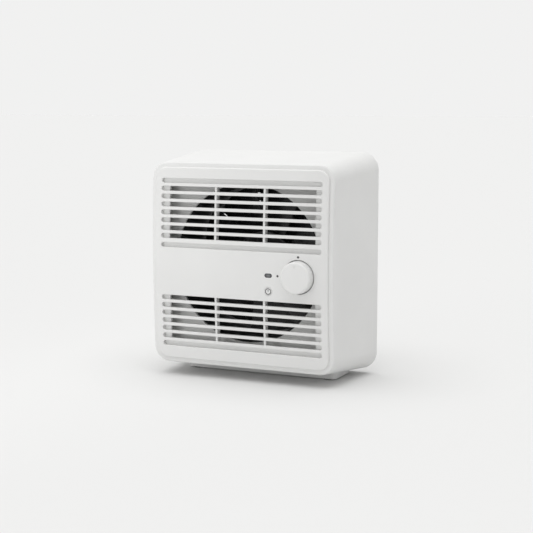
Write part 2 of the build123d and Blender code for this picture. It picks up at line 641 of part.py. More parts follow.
def shaft():
    bar = fan_rod(SHAFT_D, Y_HUB + HUB_WALL, Y_TUBE_BACK - 0.6)
    return bar - (fan_rod(SHAFT_D, Y_CLIP, Y_CLIP + CLIP_T) - fan_rod(SHAFT_D - 1.2, Y_CLIP, Y_CLIP + CLIP_T))


CLIP_T = 0.8
Y_REAR_BEARING = Y_TUBE_BACK - 3.2 - BEARING_W
Y_CLIP = Y_REAR_BEARING + BEARING_W + CLEARANCE


def shaft_clip():
    ring = Circle(SHAFT_D / 2 + 2) - Circle(SHAFT_D / 2 - 0.6) - Pos(0, -SHAFT_D) * Rectangle(3, 2 * SHAFT_D)
    return along_y(ring, Y_CLIP, Y_CLIP + CLIP_T, FAN_Z)


# Rear cover with the intake slots, power inlet and leads

def intake_rows():
    count = int(INTAKE_D / 2 / SLOT_PITCH)
    return [i * SLOT_PITCH + DUCT_RISE for i in range(-count, count + 1)]


def rear_cover():
    cover = along_y(outline_at(Y_COVER, WALL + COVER_GAP), Y_COVER, Y_COVER_BACK)
    slots = Sketch()
    for z in intake_rows():
        half = sqrt((INTAKE_D / 2) ** 2 - (z - DUCT_RISE) ** 2)
        if half < SLOT_PITCH:
            continue
        width = (2 * half - 2 * RIB_WIDTH * 2) / 3
        for i in (-1, 0, 1):
            slots += Pos(i * (width + 2 * RIB_WIDTH), z) * SlotOverall(width, INTAKE_SLOT)
    cover -= along_y(slots, Y_COVER, Y_COVER_BACK)
    for x, z in POSTS:
        cover -= rod_y(SCREW_D + 0.4, x, z, Y_COVER, Y_COVER_BACK)
        cover -= rod_y(HEAD_D + 0.8, x, z, Y_COVER_BACK - HEAD_H - 0.2, Y_COVER_BACK)
    return cover - rod_y(INLET_D, INLET_X, INLET_Z, Y_COVER, Y_COVER_BACK)


INLET_D = 9.0
INLET_BORE = 5.6
INLET_PIN = 2.1
INLET_BODY = 12.0
INLET_LENGTH = 13.0


def dc_inlet():
    y_flange = Y_COVER_BACK
    y_end = Y_COVER - INLET_LENGTH
    body = rod_y(INLET_D, INLET_X, INLET_Z, y_end, y_flange)
    body += rod_y(INLET_BODY, INLET_X, INLET_Z, y_flange, y_flange + COVER_INSET * 0.8)
    body -= rod_y(INLET_BORE, INLET_X, INLET_Z, y_end + 3, Y_BACK)
    return body + rod_y(INLET_PIN, INLET_X, INLET_Z, y_end + 2, y_flange - 1)


def inlet_nut():
    nut = Pos(INLET_X, INLET_Z) * (RegularPolygon(INLET_BODY / 2 + 0.6, 6) - Circle(INLET_D / 2))
    return along_y(nut, Y_COVER - 2.5, Y_COVER)


def inlet_lead():
    z = BODY_Z + INLET_Z
    y_turn = Y_COVER - INLET_LENGTH - 3 * LEAD_BEND
    return lead([
        (INLET_X, Y_COVER - INLET_LENGTH, z), (INLET_X, y_turn, z), (LEAD_X, y_turn, z),
        (LEAD_X, y_turn, INLET_LEAD_Z), (LEAD_X, LEAD_Y, INLET_LEAD_Z), (TERMINAL_X, LEAD_Y, INLET_LEAD_Z),
    ])


def motor_lead():
    y_turn = Y_DUCT_BACK + LEAD_D / 2 + LEAD_BEND
    return lead([
        (MOTOR_LEAD_X, Y_MOTOR_BACK, FAN_Z), (MOTOR_LEAD_X, y_turn, FAN_Z), (LEAD_X, y_turn, FAN_Z),
        (LEAD_X, LEAD_Y, FAN_Z), (TERMINAL_X, LEAD_Y, FAN_Z),
    ])


# Plinth with rubber pads

def plinth():
    z0 = PAD_SHOWS
    z1 = FOOT_HEIGHT + CORNER_R / 4
    outline = Pos(0, PLINTH_Y) * RectangleRounded(PLINTH_WIDTH, PLINTH_DEPTH, PLINTH_CORNER_R)
    base = extrude(Plane.XY.offset(z0) * outline, amount=z1 - z0)
    base = fillet(base.faces().sort_by(Axis.Z)[0].outer_wire().edges(), 0.8)
    inside = RectangleRounded(
        PLINTH_WIDTH - 2 * PLINTH_WALL, PLINTH_DEPTH - 2 * PLINTH_WALL, PLINTH_CORNER_R - PLINTH_WALL)
    base -= extrude(Plane.XY.offset(z0 + PLINTH_WALL) * Pos(0, PLINTH_Y) * inside, amount=z1)
    low = (Align.CENTER, Align.CENTER, Align.MIN)
    for x, y in PLINTH_SCREWS:
        base += Pos(x, y, z0) * Cylinder(HEAD_D / 2 + 2.2, FOOT_HEIGHT - z0, align=low)
    base -= sleeve(Y_RIM, Y_BACK)
    for x, y in PLINTH_SCREWS:
        base -= Pos(x, y, z0) * Cylinder(SCREW_D / 2 + 0.2, FOOT_HEIGHT, align=low)
        base -= Pos(x, y, z0) * Cylinder(HEAD_D / 2 + 0.4, underside(y) - PLINTH_SEAT_T - z0, align=low)
    for x, y in PADS:
        base -= Pos(x, y, z0) * Cylinder(PAD_D / 2, PAD_T - PAD_SHOWS, align=low)
    return base


def foot_pads():
    pads = []
    for x, y in PADS:
        pad = Cylinder(PAD_D / 2, PAD_T, align=(Align.CENTER, Align.CENTER, Align.MIN))
        pads.append(Pos(x, y, 0) * pad)
    return group(pads)


def plinth_screws():
    screws = []
    low = (Align.CENTER, Align.CENTER, Align.MIN)
    for x, y in PLINTH_SCREWS:
        shank = Cylinder(SCREW_D / 2 - THREAD_GAP, PLINTH_SEAT_T + SCREW_BITE, align=low)
        head = Pos(0, 0, -HEAD_H) * Cylinder(HEAD_D / 2, HEAD_H, align=low)
        screws.append(Pos(x, y, underside(y) - PLINTH_SEAT_T) * (shank + head))
    return group(screws)


# Other fasteners

def cover_screws():
    seat = Y_COVER_BACK - HEAD_H - 0.2
    return group(screw_y(x, z, seat, -1, grip=seat - Y_COVER) for x, z in POSTS)


def shroud_screws():
    return group(screw_y(x, z, Y_SHROUD, 1, grip=SHROUD_T) for x, z in POSTS)


def frame_screws():
    seat = Y_SHROUD_BACK + EAR_BOSS_L + EAR_T
    return group(screw_y(x, z, seat, -1, grip=EAR_T - 2) for x, z in EAR_HOLES)


def board_screws():
    seat = Y_BOARD + BOARD_T
    small = (SMALL_HEAD_D, SMALL_HEAD_H)
    return group(screw_y(x, z, seat, -1, SMALL_SCREW_D, small, grip=BOARD_T - 2) for x, z in BOARD_HOLES)


PARTS = {
    "casing": casing,
    "front_panel": front_panel,
    "rear_cover": rear_cover,
    "shroud_plate": shroud_plate,
    "fan_frame": fan_frame,
    "plinth": plinth,
    "foot_pads": foot_pads,
    "dial_knob": dial_knob,
    "dial_spindle": dial_spindle,
    "rotary_switch": rotary_switch,
    "indicator_lens": indicator_lens,
    "indicator_led": indicator_led,
    "power_button": power_button,
    "tact_switch": tact_switch,
    "control_board": control_board,
    "impeller": impeller,
    "rotor_yoke": rotor_yoke,
    "rotor_magnet": rotor_magnet,
    "shaft": shaft,
    "shaft_clip": shaft_clip,
    "bearing_tube": bearing_tube,
    "front_bearing": lambda: bearing(Y_TUBE + 1.0),
    "rear_bearing": lambda: bearing(Y_REAR_BEARING),
    "stator_core": stator_core,
    "stator_coils": stator_coils,
    "motor_board": motor_board,
    "dc_inlet": dc_inlet,
    "inlet_nut": inlet_nut,
    "inlet_lead": inlet_lead,
    "motor_lead": motor_lead,
    "cover_screws": cover_screws,
    "shroud_screws": shroud_screws,
    "frame_screws": frame_screws,
    "board_screws": board_screws,
    "plinth_screws": plinth_screws,
}

for name, make in PARTS.items():
    export_step(make(), f"parts/{name}.step")
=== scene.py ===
# %% [markdown]
# # A compact box fan, dressed for the camera
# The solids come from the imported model, which fixes every size and place in metres. This script
# gives them their finish: moulded white plastic outside, black plastic and metal inside, printed
# marks, light and a camera. Nothing is moved, so what is seen here is what the joints move.

# %% Load the frame
from math import cos, degrees, pi, radians, sin

import bmesh
import bpy
from mathutils import Matrix, Vector
from mathutils.bvhtree import BVHTree


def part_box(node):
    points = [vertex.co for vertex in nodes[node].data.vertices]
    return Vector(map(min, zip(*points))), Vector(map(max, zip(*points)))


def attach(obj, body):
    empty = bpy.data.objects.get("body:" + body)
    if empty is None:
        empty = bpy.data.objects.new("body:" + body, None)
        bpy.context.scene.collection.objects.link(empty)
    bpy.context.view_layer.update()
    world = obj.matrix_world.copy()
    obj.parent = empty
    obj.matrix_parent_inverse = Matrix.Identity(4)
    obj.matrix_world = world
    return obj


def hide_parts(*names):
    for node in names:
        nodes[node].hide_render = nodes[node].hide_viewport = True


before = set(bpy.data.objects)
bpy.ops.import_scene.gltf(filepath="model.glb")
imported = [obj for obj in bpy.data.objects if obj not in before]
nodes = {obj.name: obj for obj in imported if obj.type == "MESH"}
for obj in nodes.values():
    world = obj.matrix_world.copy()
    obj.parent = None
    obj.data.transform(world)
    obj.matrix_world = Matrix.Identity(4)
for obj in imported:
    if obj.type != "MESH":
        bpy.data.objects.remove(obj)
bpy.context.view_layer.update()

link = bpy.context.collection.objects.link
MM = 0.001


def middle_of(node):
    low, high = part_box(node)
    return (low + high) / 2


# %% [markdown]
# ## The camera
# The photograph looks at the front and the right side, a little from above, through a long lens.
# The angles below were fitted to the slot ends and the outline. Euler angles could set the camera
# too, but three axis vectors keep the small roll of the picture in plain sight.

# %% Camera at the photograph's angle
AZIMUTH, ELEVATION, ROLL = radians(25.03), radians(7.21), radians(-0.05)
DISTANCE = 1451 * MM
FOCAL_PX, FRAME_PX = 1283.5, 533.0
SENSOR = 36.0
CASE_DEPTH = 104.5 * MM
AIM_OFFSET = Vector((5.5, 0, -5.5)) * MM

case_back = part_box("casing")[1].y
body_middle = Vector((0, case_back - CASE_DEPTH / 2, middle_of("casing").z))
aim = body_middle + AIM_OFFSET

back = Vector((sin(AZIMUTH) * cos(ELEVATION), -cos(AZIMUTH) * cos(ELEVATION), sin(ELEVATION)))
level = Vector((cos(AZIMUTH), sin(AZIMUTH), 0))
upright = back.cross(level)
right = level * cos(ROLL) + upright * sin(ROLL)
up = upright * cos(ROLL) - level * sin(ROLL)
camera_turn = Matrix((right, up, back)).transposed().to_4x4()

camera_data = bpy.data.cameras.new("camera")
camera_data.sensor_width = SENSOR
camera_data.lens = FOCAL_PX * SENSOR / FRAME_PX
camera = bpy.data.objects.new("camera", camera_data)
camera.matrix_world = Matrix.Translation(aim + back * DISTANCE) @ camera_turn
link(camera)
bpy.context.scene.camera = camera
print("lens", round(camera_data.lens, 1), "mm")

# %% [markdown]
# ## Floor and light
# A product photograph like this one is taken on white paper under large soft boxes. One big plane
# is the paper. A wide sun stands for the overhead box, because it lights the whole plane evenly, and
# one small lamp with a narrow spread makes the front fall off towards the right.

# %% White paper floor
FLOOR_SIZE = 60.0
FLOOR_COLOUR = (0.75, 0.75, 0.746, 1)
FLOOR_ROUGHNESS = 0.9

reach = FLOOR_SIZE / 2
floor_corners = [(x * reach, y * reach, 0) for x, y in ((-1, -1), (1, -1), (1, 1), (-1, 1))]
floor_mesh = bpy.data.meshes.new("floor")
floor_mesh.from_pydata(floor_corners, [], [(0, 1, 2, 3)])
floor = bpy.data.objects.new("floor", floor_mesh)
link(floor)
floor_paint = bpy.data.materials.new("floor_paper")
floor_paint.use_nodes = True
floor_shader = floor_paint.node_tree.nodes["Principled BSDF"]
floor_shader.inputs["Base Color"].default_value = FLOOR_COLOUR
floor_shader.inputs["Roughness"].default_value = FLOOR_ROUGHNESS
floor_shader.inputs["Specular IOR Level"].default_value = 0.0
floor_mesh.materials.append(floor_paint)
print("floor", FLOOR_SIZE, "m")

# %% Overhead sun and side lamp
SUN_STRENGTH, SUN_SPREAD = 1.74, radians(70)
SUN_FROM = Vector((-0.04, -0.16, 1.4))
LAMP_SIZE, LAMP_SPREAD, LAMP_POWER = 0.30, radians(50), 0.10
LAMP_PLACE = Vector((-0.32, -0.80, 0.20))
LAMP_AIM = body_middle + Vector((-160, -60, 10)) * MM


def hang(lamp_data, place, target):
    """Put a lamp at a place, with its light towards a target."""
    lamp = bpy.data.objects.new(lamp_data.name, lamp_data)
    turn = (place - target).to_track_quat("Z", "Y").to_matrix().to_4x4()
    lamp.matrix_world = Matrix.Translation(place) @ turn
    link(lamp)


sun_data = bpy.data.lights.new("overhead", "SUN")
sun_data.energy = SUN_STRENGTH
sun_data.angle = SUN_SPREAD
hang(sun_data, SUN_FROM, Vector((0, 0, 0)))

side_data = bpy.data.lights.new("side_box", "AREA")
side_data.shape = "SQUARE"
side_data.size = LAMP_SIZE
side_data.spread = LAMP_SPREAD
side_data.energy = LAMP_POWER
hang(side_data, LAMP_PLACE, LAMP_AIM)
print("sun spread", round(degrees(SUN_SPREAD)), "degrees, lamp", LAMP_POWER, "W")

# %% [markdown]
# ## The studio around it
# The walls of a studio throw light back from all sides, a little less from the right here. More
# lamps could stand for them, but a world of one colour needs no placing. Behind the fan the picture
# is paler than this fill, so a ray that shows in the picture, straight, mirrored or through clear
# plastic, meets the backdrop. Any other ray meets the fill.

# %% World with a fill and a paler backdrop
WORLD_COLOUR = (1.0, 1.0, 0.995, 1)
WORLD_FILL = 0.62
RIGHT_SHADE = 0.06
BACKDROP = 0.879

world = bpy.data.worlds.new("studio")
world.use_nodes = True
sky_tree, sky_links = world.node_tree.nodes, world.node_tree.links
sky = sky_tree["Background"]
sky.inputs["Color"].default_value = WORLD_COLOUR

path = sky_tree.new("ShaderNodeLightPath")
shown = path.outputs["Is Camera Ray"]
for ray in ("Is Glossy Ray", "Is Transmission Ray"):
    either = sky_tree.new("ShaderNodeMath")
    either.operation = "MAXIMUM"
    sky_links.new(shown, either.inputs[0])
    sky_links.new(path.outputs[ray], either.inputs[1])
    shown = either.outputs["Value"]

way = sky_tree.new("ShaderNodeTexCoord")
axes = sky_tree.new("ShaderNodeSeparateXYZ")
fill = sky_tree.new("ShaderNodeMapRange")
fill.inputs["From Min"].default_value = -1.0
fill.inputs["To Min"].default_value = WORLD_FILL * (1 + RIGHT_SHADE)
fill.inputs["To Max"].default_value = WORLD_FILL * (1 - RIGHT_SHADE)
sky_links.new(way.outputs["Generated"], axes.inputs["Vector"])
sky_links.new(axes.outputs["X"], fill.inputs["Value"])

strength = sky_tree.new("ShaderNodeMapRange")
strength.inputs["To Max"].default_value = BACKDROP
sky_links.new(shown, strength.inputs["Value"])
sky_links.new(fill.outputs["Result"], strength.inputs["To Min"])
sky_links.new(strength.outputs["Result"], sky.inputs["Strength"])
bpy.context.scene.world = world
bpy.context.scene.view_settings.view_transform = "Standard"
print("world fill", WORLD_FILL, "backdrop", BACKDROP)

# %% [markdown]
# ## Finishes
# Moulded plastic is never one flat colour: the mould is spark-eroded, which leaves a grain of a few
# tenths of a millimetre, and the melt flows unevenly, which leaves very broad pale clouds. A picture
# could be wrapped round each piece, but it would show seams. Noise on Object coordinates has none,
# and it stays on the piece at its real scale when the piece moves.

# %% Helpers for a finish
RAMP_ENDS = (0.3, 0.7)


def blank(name):
    paint = bpy.data.materials.new(name)
    paint.use_nodes = True
    tree = paint.node_tree
    return paint, tree.nodes, tree.links, tree.nodes["Principled BSDF"]


def noise(tree, links, scale, detail, stretch=(1, 1, 1)):
    """Noise on Object coordinates. The scale is in waves per metre."""
    where = tree.new("ShaderNodeTexCoord")
    mapping = tree.new("ShaderNodeMapping")
    mapping.inputs["Scale"].default_value = stretch
    links.new(where.outputs["Object"], mapping.inputs["Vector"])
    texture = tree.new("ShaderNodeTexNoise")
    texture.inputs["Scale"].default_value = scale
    texture.inputs["Detail"].default_value = detail
    links.new(mapping.outputs["Vector"], texture.inputs["Vector"])
    return texture.outputs["Fac"]


def tint(tree, links, factor, dark, light):
    """Colour that runs from dark to light over the middle of a factor's range."""
    ramp = tree.new("ShaderNodeValToRGB")
    for stop, position, colour in zip(ramp.color_ramp.elements, RAMP_ENDS, (dark, light)):
        stop.position = position
        stop.color = (*colour, 1)
    links.new(factor, ramp.inputs["Fac"])
    return ramp.outputs["Color"]


def spread(tree, links, factor, low, high):
    """A factor of 0 to 1 brought to a range."""
    span = tree.new("ShaderNodeMapRange")
    span.inputs["To Min"].default_value = low
    span.inputs["To Max"].default_value = high
    links.new(factor, span.inputs["Value"])
    return span.outputs["Result"]


def relief(tree, links, shader, factor, depth):
    """Fine relief from a factor. The depth is in metres."""
    bump = tree.new("ShaderNodeBump")
    bump.inputs["Distance"].default_value = depth
    links.new(factor, bump.inputs["Height"])
    links.new(bump.outputs["Normal"], shader.inputs["Normal"])


print("helpers", [helper.__name__ for helper in (blank, noise, tint, spread, relief)])

# %% Moulded plastic and rubber
CLOUD_WAVES, GRAIN_WAVES = 14, 1500
GRAIN_DEPTH = 0.012 * MM
SATIN_SWING = 0.06
WHITE = (0.755, 0.755, 0.748)
# The shroud's white is paler than the shell's. This is painted light: it brightens the shroud plate
# behind the slots, where little light reaches.
PAINTED_LIGHT_INNER_WHITE = (0.84, 0.84, 0.83)


def moulded(name, colour, roughness, cloud=0.02, grain=GRAIN_WAVES, depth=GRAIN_DEPTH, gloss=0.4):
    """Plastic with broad clouds of a given share and a fine grain."""
    paint, tree, links, shader = blank(name)
    broad = noise(tree, links, CLOUD_WAVES, detail=3)
    fine = noise(tree, links, grain, detail=2)
    dark = [c * (1 - cloud) for c in colour]
    light = [min(1, c * (1 + cloud)) for c in colour]
    satin = spread(tree, links, fine, roughness - SATIN_SWING, roughness + SATIN_SWING)
    links.new(tint(tree, links, broad, dark, light), shader.inputs["Base Color"])
    links.new(satin, shader.inputs["Roughness"])
    shader.inputs["Specular IOR Level"].default_value = gloss
    relief(tree, links, shader, fine, depth)
    return paint


def shade(colour, share):
    return [c * share for c in colour]


before = len(bpy.data.materials)
white_shell = moulded("white_shell", WHITE, 0.48)
white_panel = moulded("white_panel", WHITE, 0.46)
white_cover = moulded("white_cover", shade(WHITE, 0.98), 0.52)
white_plinth = moulded("white_plinth", shade(WHITE, 0.98), 0.52)
white_knob = moulded("white_knob", shade(WHITE, 1.02), 0.40)
white_button = moulded("white_button", WHITE, 0.42)
# Painted light: the shroud plate gets a paler white than the shell, to brighten it behind the slots.
white_inner = moulded("white_inner", PAINTED_LIGHT_INNER_WHITE, 0.6)
black_frame = moulded("black_frame", (0.045, 0.045, 0.046), 0.5, cloud=0.15)
black_impeller = moulded("black_impeller", (0.014, 0.014, 0.015), 0.28, cloud=0.15, gloss=0.5)
switch_black = moulded("switch_body", (0.04, 0.04, 0.043), 0.55, cloud=0.12)
inlet_black = moulded("inlet_black", (0.03, 0.03, 0.031), 0.45, cloud=0.12)
lead_sleeve = moulded("lead_sleeve", (0.035, 0.035, 0.036), 0.6, cloud=0.15)
ferrite = moulded("ferrite", (0.06, 0.06, 0.062), 0.7, cloud=0.2, grain=900)
led_clear = moulded("led_clear", (0.72, 0.75, 0.70), 0.12, cloud=0.04)
pad_rubber = moulded(
    "pad_rubber", (0.045, 0.045, 0.045), 0.85, cloud=0.2, grain=700, depth=0.05 * MM, gloss=0.2)
print("plastics and rubber", len(bpy.data.materials) - before)

# %% [markdown]
# ## Metal and board
# Turned and drawn steel shows fine lines along the tool's path. Brush marks could be painted, but
# noise that is stretched along the path gives them at any size. Copper wire lies in even turns, which
# a wave makes. A circuit board is green lacquer over lighter copper tracks, which square cells make.

# %% Metals, winding and board
LINE_WAVES, LINE_DARK, LINE_DEPTH = 900, 0.86, 0.004 * MM
BAND_WAVER, BAND_DARK, BAND_DEPTH = 0.4, 0.6, 0.1 * MM
LINE_POLISH, BAND_POLISH = (-0.08, 0.1), (0.1, -0.05)
TRACK_CELLS = 260
TRACK_GREEN, LACQUER_GREEN = (0.09, 0.26, 0.1), (0.02, 0.11, 0.04)
TRACK_ROUGHNESS, LACQUER_ROUGHNESS = 0.3, 0.45


def worked_metal(name, colour, roughness, stretch):
    paint, tree, links, shader = blank(name)
    lines = noise(tree, links, LINE_WAVES, 3, stretch)
    polish = spread(tree, links, lines, *[roughness + step for step in LINE_POLISH])
    dark = shade(colour, LINE_DARK)
    links.new(tint(tree, links, lines, dark, colour), shader.inputs["Base Color"])
    links.new(polish, shader.inputs["Roughness"])
    shader.inputs["Metallic"].default_value = 1.0
    relief(tree, links, shader, lines, LINE_DEPTH)
    return paint


def banded(name, colour, roughness, scale):
    """Even bands along Y, as wound wire or stacked sheets show."""
    paint, tree, links, shader = blank(name)
    where = tree.new("ShaderNodeTexCoord")
    wave = tree.new("ShaderNodeTexWave")
    wave.bands_direction = "Y"
    wave.inputs["Scale"].default_value = scale
    wave.inputs["Distortion"].default_value = BAND_WAVER
    links.new(where.outputs["Object"], wave.inputs["Vector"])
    bands = wave.outputs["Fac"]
    polish = spread(tree, links, bands, *[roughness + step for step in BAND_POLISH])
    dark = shade(colour, BAND_DARK)
    links.new(tint(tree, links, bands, dark, colour), shader.inputs["Base Color"])
    links.new(polish, shader.inputs["Roughness"])
    shader.inputs["Metallic"].default_value = 1.0
    relief(tree, links, shader, bands, BAND_DEPTH)
    return paint


def circuit_board(name):
    paint, tree, links, shader = blank(name)
    where = tree.new("ShaderNodeTexCoord")
    cells = tree.new("ShaderNodeTexVoronoi")
    cells.distance = "CHEBYCHEV"
    cells.inputs["Scale"].default_value = TRACK_CELLS
    links.new(where.outputs["Object"], cells.inputs["Vector"])
    tracks = cells.outputs["Distance"]
    polish = spread(tree, links, tracks, TRACK_ROUGHNESS, LACQUER_ROUGHNESS)
    links.new(tint(tree, links, tracks, TRACK_GREEN, LACQUER_GREEN), shader.inputs["Base Color"])
    links.new(polish, shader.inputs["Roughness"])
    return paint


before = len(bpy.data.materials)
spindle_steel = worked_metal("spindle_steel", (0.60, 0.60, 0.61), 0.3, (1, 12, 1))
yoke_steel = worked_metal("yoke_steel", (0.46, 0.46, 0.47), 0.36, (1, 0.1, 1))
bearing_steel = worked_metal("bearing_steel", (0.66, 0.66, 0.67), 0.2, (1, 8, 1))
screw_steel = worked_metal("screw_steel", (0.50, 0.50, 0.51), 0.34, (4, 1, 4))
tube_brass = worked_metal("tube_brass", (0.70, 0.55, 0.28), 0.3, (1, 10, 1))
lamination_steel = banded("lamination_steel", (0.36, 0.36, 0.38), 0.4, 320)
copper_winding = banded("copper_winding", (0.70, 0.32, 0.15), 0.3, 400)
green_board = circuit_board("circuit_board")
print("metals, winding and board", len(bpy.data.materials) - before)

# %% [markdown]
# ## Smooth skins for what shows
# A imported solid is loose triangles, which shade as flat facets. The pieces could be modelled again,
# but a copy with its vertices welded can be shaded smooth and has exactly the solid's shape.
# Face-weighted normals keep the broad faces even beside their fillets. The copy stands in for the
# solid and rides on the same body.

# %% Welded, softly shaded copies
WELD = 0.002 * MM
SHARP = radians(32)
FACE_WEIGHT = 80


def skin(node, body, paint):
    work = bmesh.new()
    work.from_mesh(nodes[node].data)
    bmesh.ops.remove_doubles(work, verts=work.verts, dist=WELD)
    for edge in work.edges:
        edge.smooth = edge.is_manifold and edge.calc_face_angle(0) < SHARP
    for face in work.faces:
        face.smooth = True
        face.material_index = 0
    mesh = bpy.data.meshes.new(node + "_skin")
    work.to_mesh(mesh)
    work.free()
    mesh.materials.append(paint)
    piece = bpy.data.objects.new(node + "_skin", mesh)
    link(piece)
    even = piece.modifiers.new("even_faces", "WEIGHTED_NORMAL")
    even.keep_sharp = True
    even.weight = FACE_WEIGHT
    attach(piece, body)
    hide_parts(node)
    print(node, len(mesh.polygons), "faces")


skin("casing", "housing", white_shell)
skin("front_panel", "housing", white_panel)
skin("rear_cover", "housing", white_cover)
skin("plinth", "housing", white_plinth)
skin("shroud_plate", "housing", white_inner)
skin("fan_frame", "housing", black_frame)
skin("impeller", "rotor", black_impeller)
skin("dial_knob", "dial", white_knob)
skin("power_button", "button", white_button)
skin("dc_inlet", "housing", inlet_black)
skin("foot_pads", "housing", pad_rubber)

# %% [markdown]
# ## Cross-recess screws
# Twenty small screws hold the fan together, and all of them are one shape in two sizes: a pan head
# with a cross pressed into it, over a plain shank. Each could be modelled by hand, but a shape like
# that is better made once and repeated, so a node tree makes it at every point of a small mesh of
# places. The head is a cylinder cut to a dome by a ball, and two blocks cut the cross.

# %% A node tree for one screw, set at every place
ROUND_SIDES, BALL_RINGS = 32, 24
DOME_SHARE, CROSS_LENGTH, CROSS_WIDTH = 0.9, 0.56, 0.16


def screw_tree(paint):
    tree = bpy.data.node_groups.new("cross_recess_screws", "GeometryNodeTree")
    sockets = tree.interface
    sockets.new_socket("Places", in_out="INPUT", socket_type="NodeSocketGeometry")
    for name in ("Head Diameter", "Head Height", "Shank Diameter", "Shank Length"):
        sockets.new_socket(name, in_out="INPUT", socket_type="NodeSocketFloat")
    sockets.new_socket("Outwards", in_out="INPUT", socket_type="NodeSocketVector")
    sockets.new_socket("Screws", in_out="OUTPUT", socket_type="NodeSocketGeometry")
    made, links = tree.nodes, tree.links
    given, result = made.new("NodeGroupInput"), made.new("NodeGroupOutput")

    def times(value, factor):
        product = made.new("ShaderNodeMath")
        product.operation = "MULTIPLY"
        links.new(value, product.inputs[0])
        product.inputs[1].default_value = factor
        return product.outputs[0]

    def less(value, other):
        rest = made.new("ShaderNodeMath")
        rest.operation = "SUBTRACT"
        links.new(value, rest.inputs[0])
        links.new(other, rest.inputs[1])
        return rest.outputs[0]

    def lifted(geometry, height):
        place, move = made.new("ShaderNodeCombineXYZ"), made.new("GeometryNodeTransform")
        links.new(height, place.inputs["Z"])
        links.new(geometry, move.inputs["Geometry"])
        links.new(place.outputs["Vector"], move.inputs["Translation"])
        return move.outputs["Geometry"]

    def bar(diameter, length):
        rod = made.new("GeometryNodeMeshCylinder")
        rod.inputs["Vertices"].default_value = ROUND_SIDES
        links.new(times(diameter, 0.5), rod.inputs["Radius"])
        links.new(length, rod.inputs["Depth"])
        return rod.outputs["Mesh"]

    def cut(operation, first, others):
        knife = made.new("GeometryNodeMeshBoolean")
        knife.operation = operation
        if first is not None:
            links.new(first, knife.inputs["Mesh 1"])
        for other in others:
            links.new(other, knife.inputs["Mesh 2"])
        return knife.outputs["Mesh"]

    across, height = given.outputs["Head Diameter"], given.outputs["Head Height"]
    ball = made.new("GeometryNodeMeshUVSphere")
    ball.inputs["Segments"].default_value = ROUND_SIDES
    ball.inputs["Rings"].default_value = BALL_RINGS
    radius = times(across, DOME_SHARE)
    links.new(radius, ball.inputs["Radius"])
    dome = lifted(ball.outputs["Mesh"], less(height, radius))
    head = cut("INTERSECT", None, (lifted(bar(across, height), times(height, 0.5)), dome))
    slots = []
    for long_side, short_side in (("X", "Y"), ("Y", "X")):
        size, block = made.new("ShaderNodeCombineXYZ"), made.new("GeometryNodeMeshCube")
        links.new(times(across, CROSS_LENGTH), size.inputs[long_side])
        links.new(times(across, CROSS_WIDTH), size.inputs[short_side])
        links.new(height, size.inputs["Z"])
        links.new(size.outputs["Vector"], block.inputs["Size"])
        slots.append(lifted(block.outputs["Mesh"], height))
    head = cut("DIFFERENCE", head, slots)
    shank_length = given.outputs["Shank Length"]
    shank = lifted(bar(given.outputs["Shank Diameter"], shank_length), times(shank_length, -0.5))
    screw = made.new("GeometryNodeJoinGeometry")
    for piece in (head, shank):
        links.new(piece, screw.inputs["Geometry"])
    turn = made.new("FunctionNodeAlignRotationToVector")
    turn.axis = "Z"
    links.new(given.outputs["Outwards"], turn.inputs["Vector"])
    copies = made.new("GeometryNodeInstanceOnPoints")
    links.new(given.outputs["Places"], copies.inputs["Points"])
    links.new(screw.outputs["Geometry"], copies.inputs["Instance"])
    links.new(turn.outputs["Rotation"], copies.inputs["Rotation"])
    solid, painted = made.new("GeometryNodeRealizeInstances"), made.new("GeometryNodeSetMaterial")
    painted.inputs["Material"].default_value = paint
    links.new(copies.outputs["Instances"], solid.inputs["Geometry"])
    links.new(solid.outputs["Geometry"], painted.inputs["Geometry"])
    links.new(painted.outputs["Geometry"], result.inputs["Screws"])
    return tree


screw_nodes = screw_tree(screw_steel)
print("screw tree", len(screw_nodes.nodes), "nodes")

# %% [markdown]
# ## Screws in their holes
# Where a screw sits is known already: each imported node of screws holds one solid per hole. The places
# could be typed in, but reading them from the solids keeps every screw in its own hole. A node's
# screws stand at the four corners of a rectangle, so its middle tells them apart.

# %% Places read from the solids
SCREW_SHARP = radians(28)
LARGE_HEAD, LARGE_SHANK = (5.6 * MM, 1.8 * MM), 2.9 * MM
SMALL_HEAD, SMALL_SHANK = (4.2 * MM, 1.4 * MM), 2.1 * MM


def screw_places(node, outwards, head_height):
    """Middle of each screw's seat, and the shank's length, which all screws of a node share."""
    middle = middle_of(node)
    along = [abs(part) for part in outwards].index(1)
    groups = {}
    for vertex in nodes[node].data.vertices:
        side = tuple(vertex.co[i] > middle[i] for i in range(3) if i != along)
        groups.setdefault(side, []).append(vertex.co)
    places = []
    for points in groups.values():
        low = Vector([min(p[i] for p in points) for i in range(3)])
        high = Vector([max(p[i] for p in points) for i in range(3)])
        seat = (low + high) / 2
        top = (high if outwards[along] > 0 else low)[along]
        seat[along] = top - outwards[along] * head_height
        places.append(seat)
        shank_length = high[along] - low[along] - head_height
    return places, shank_length


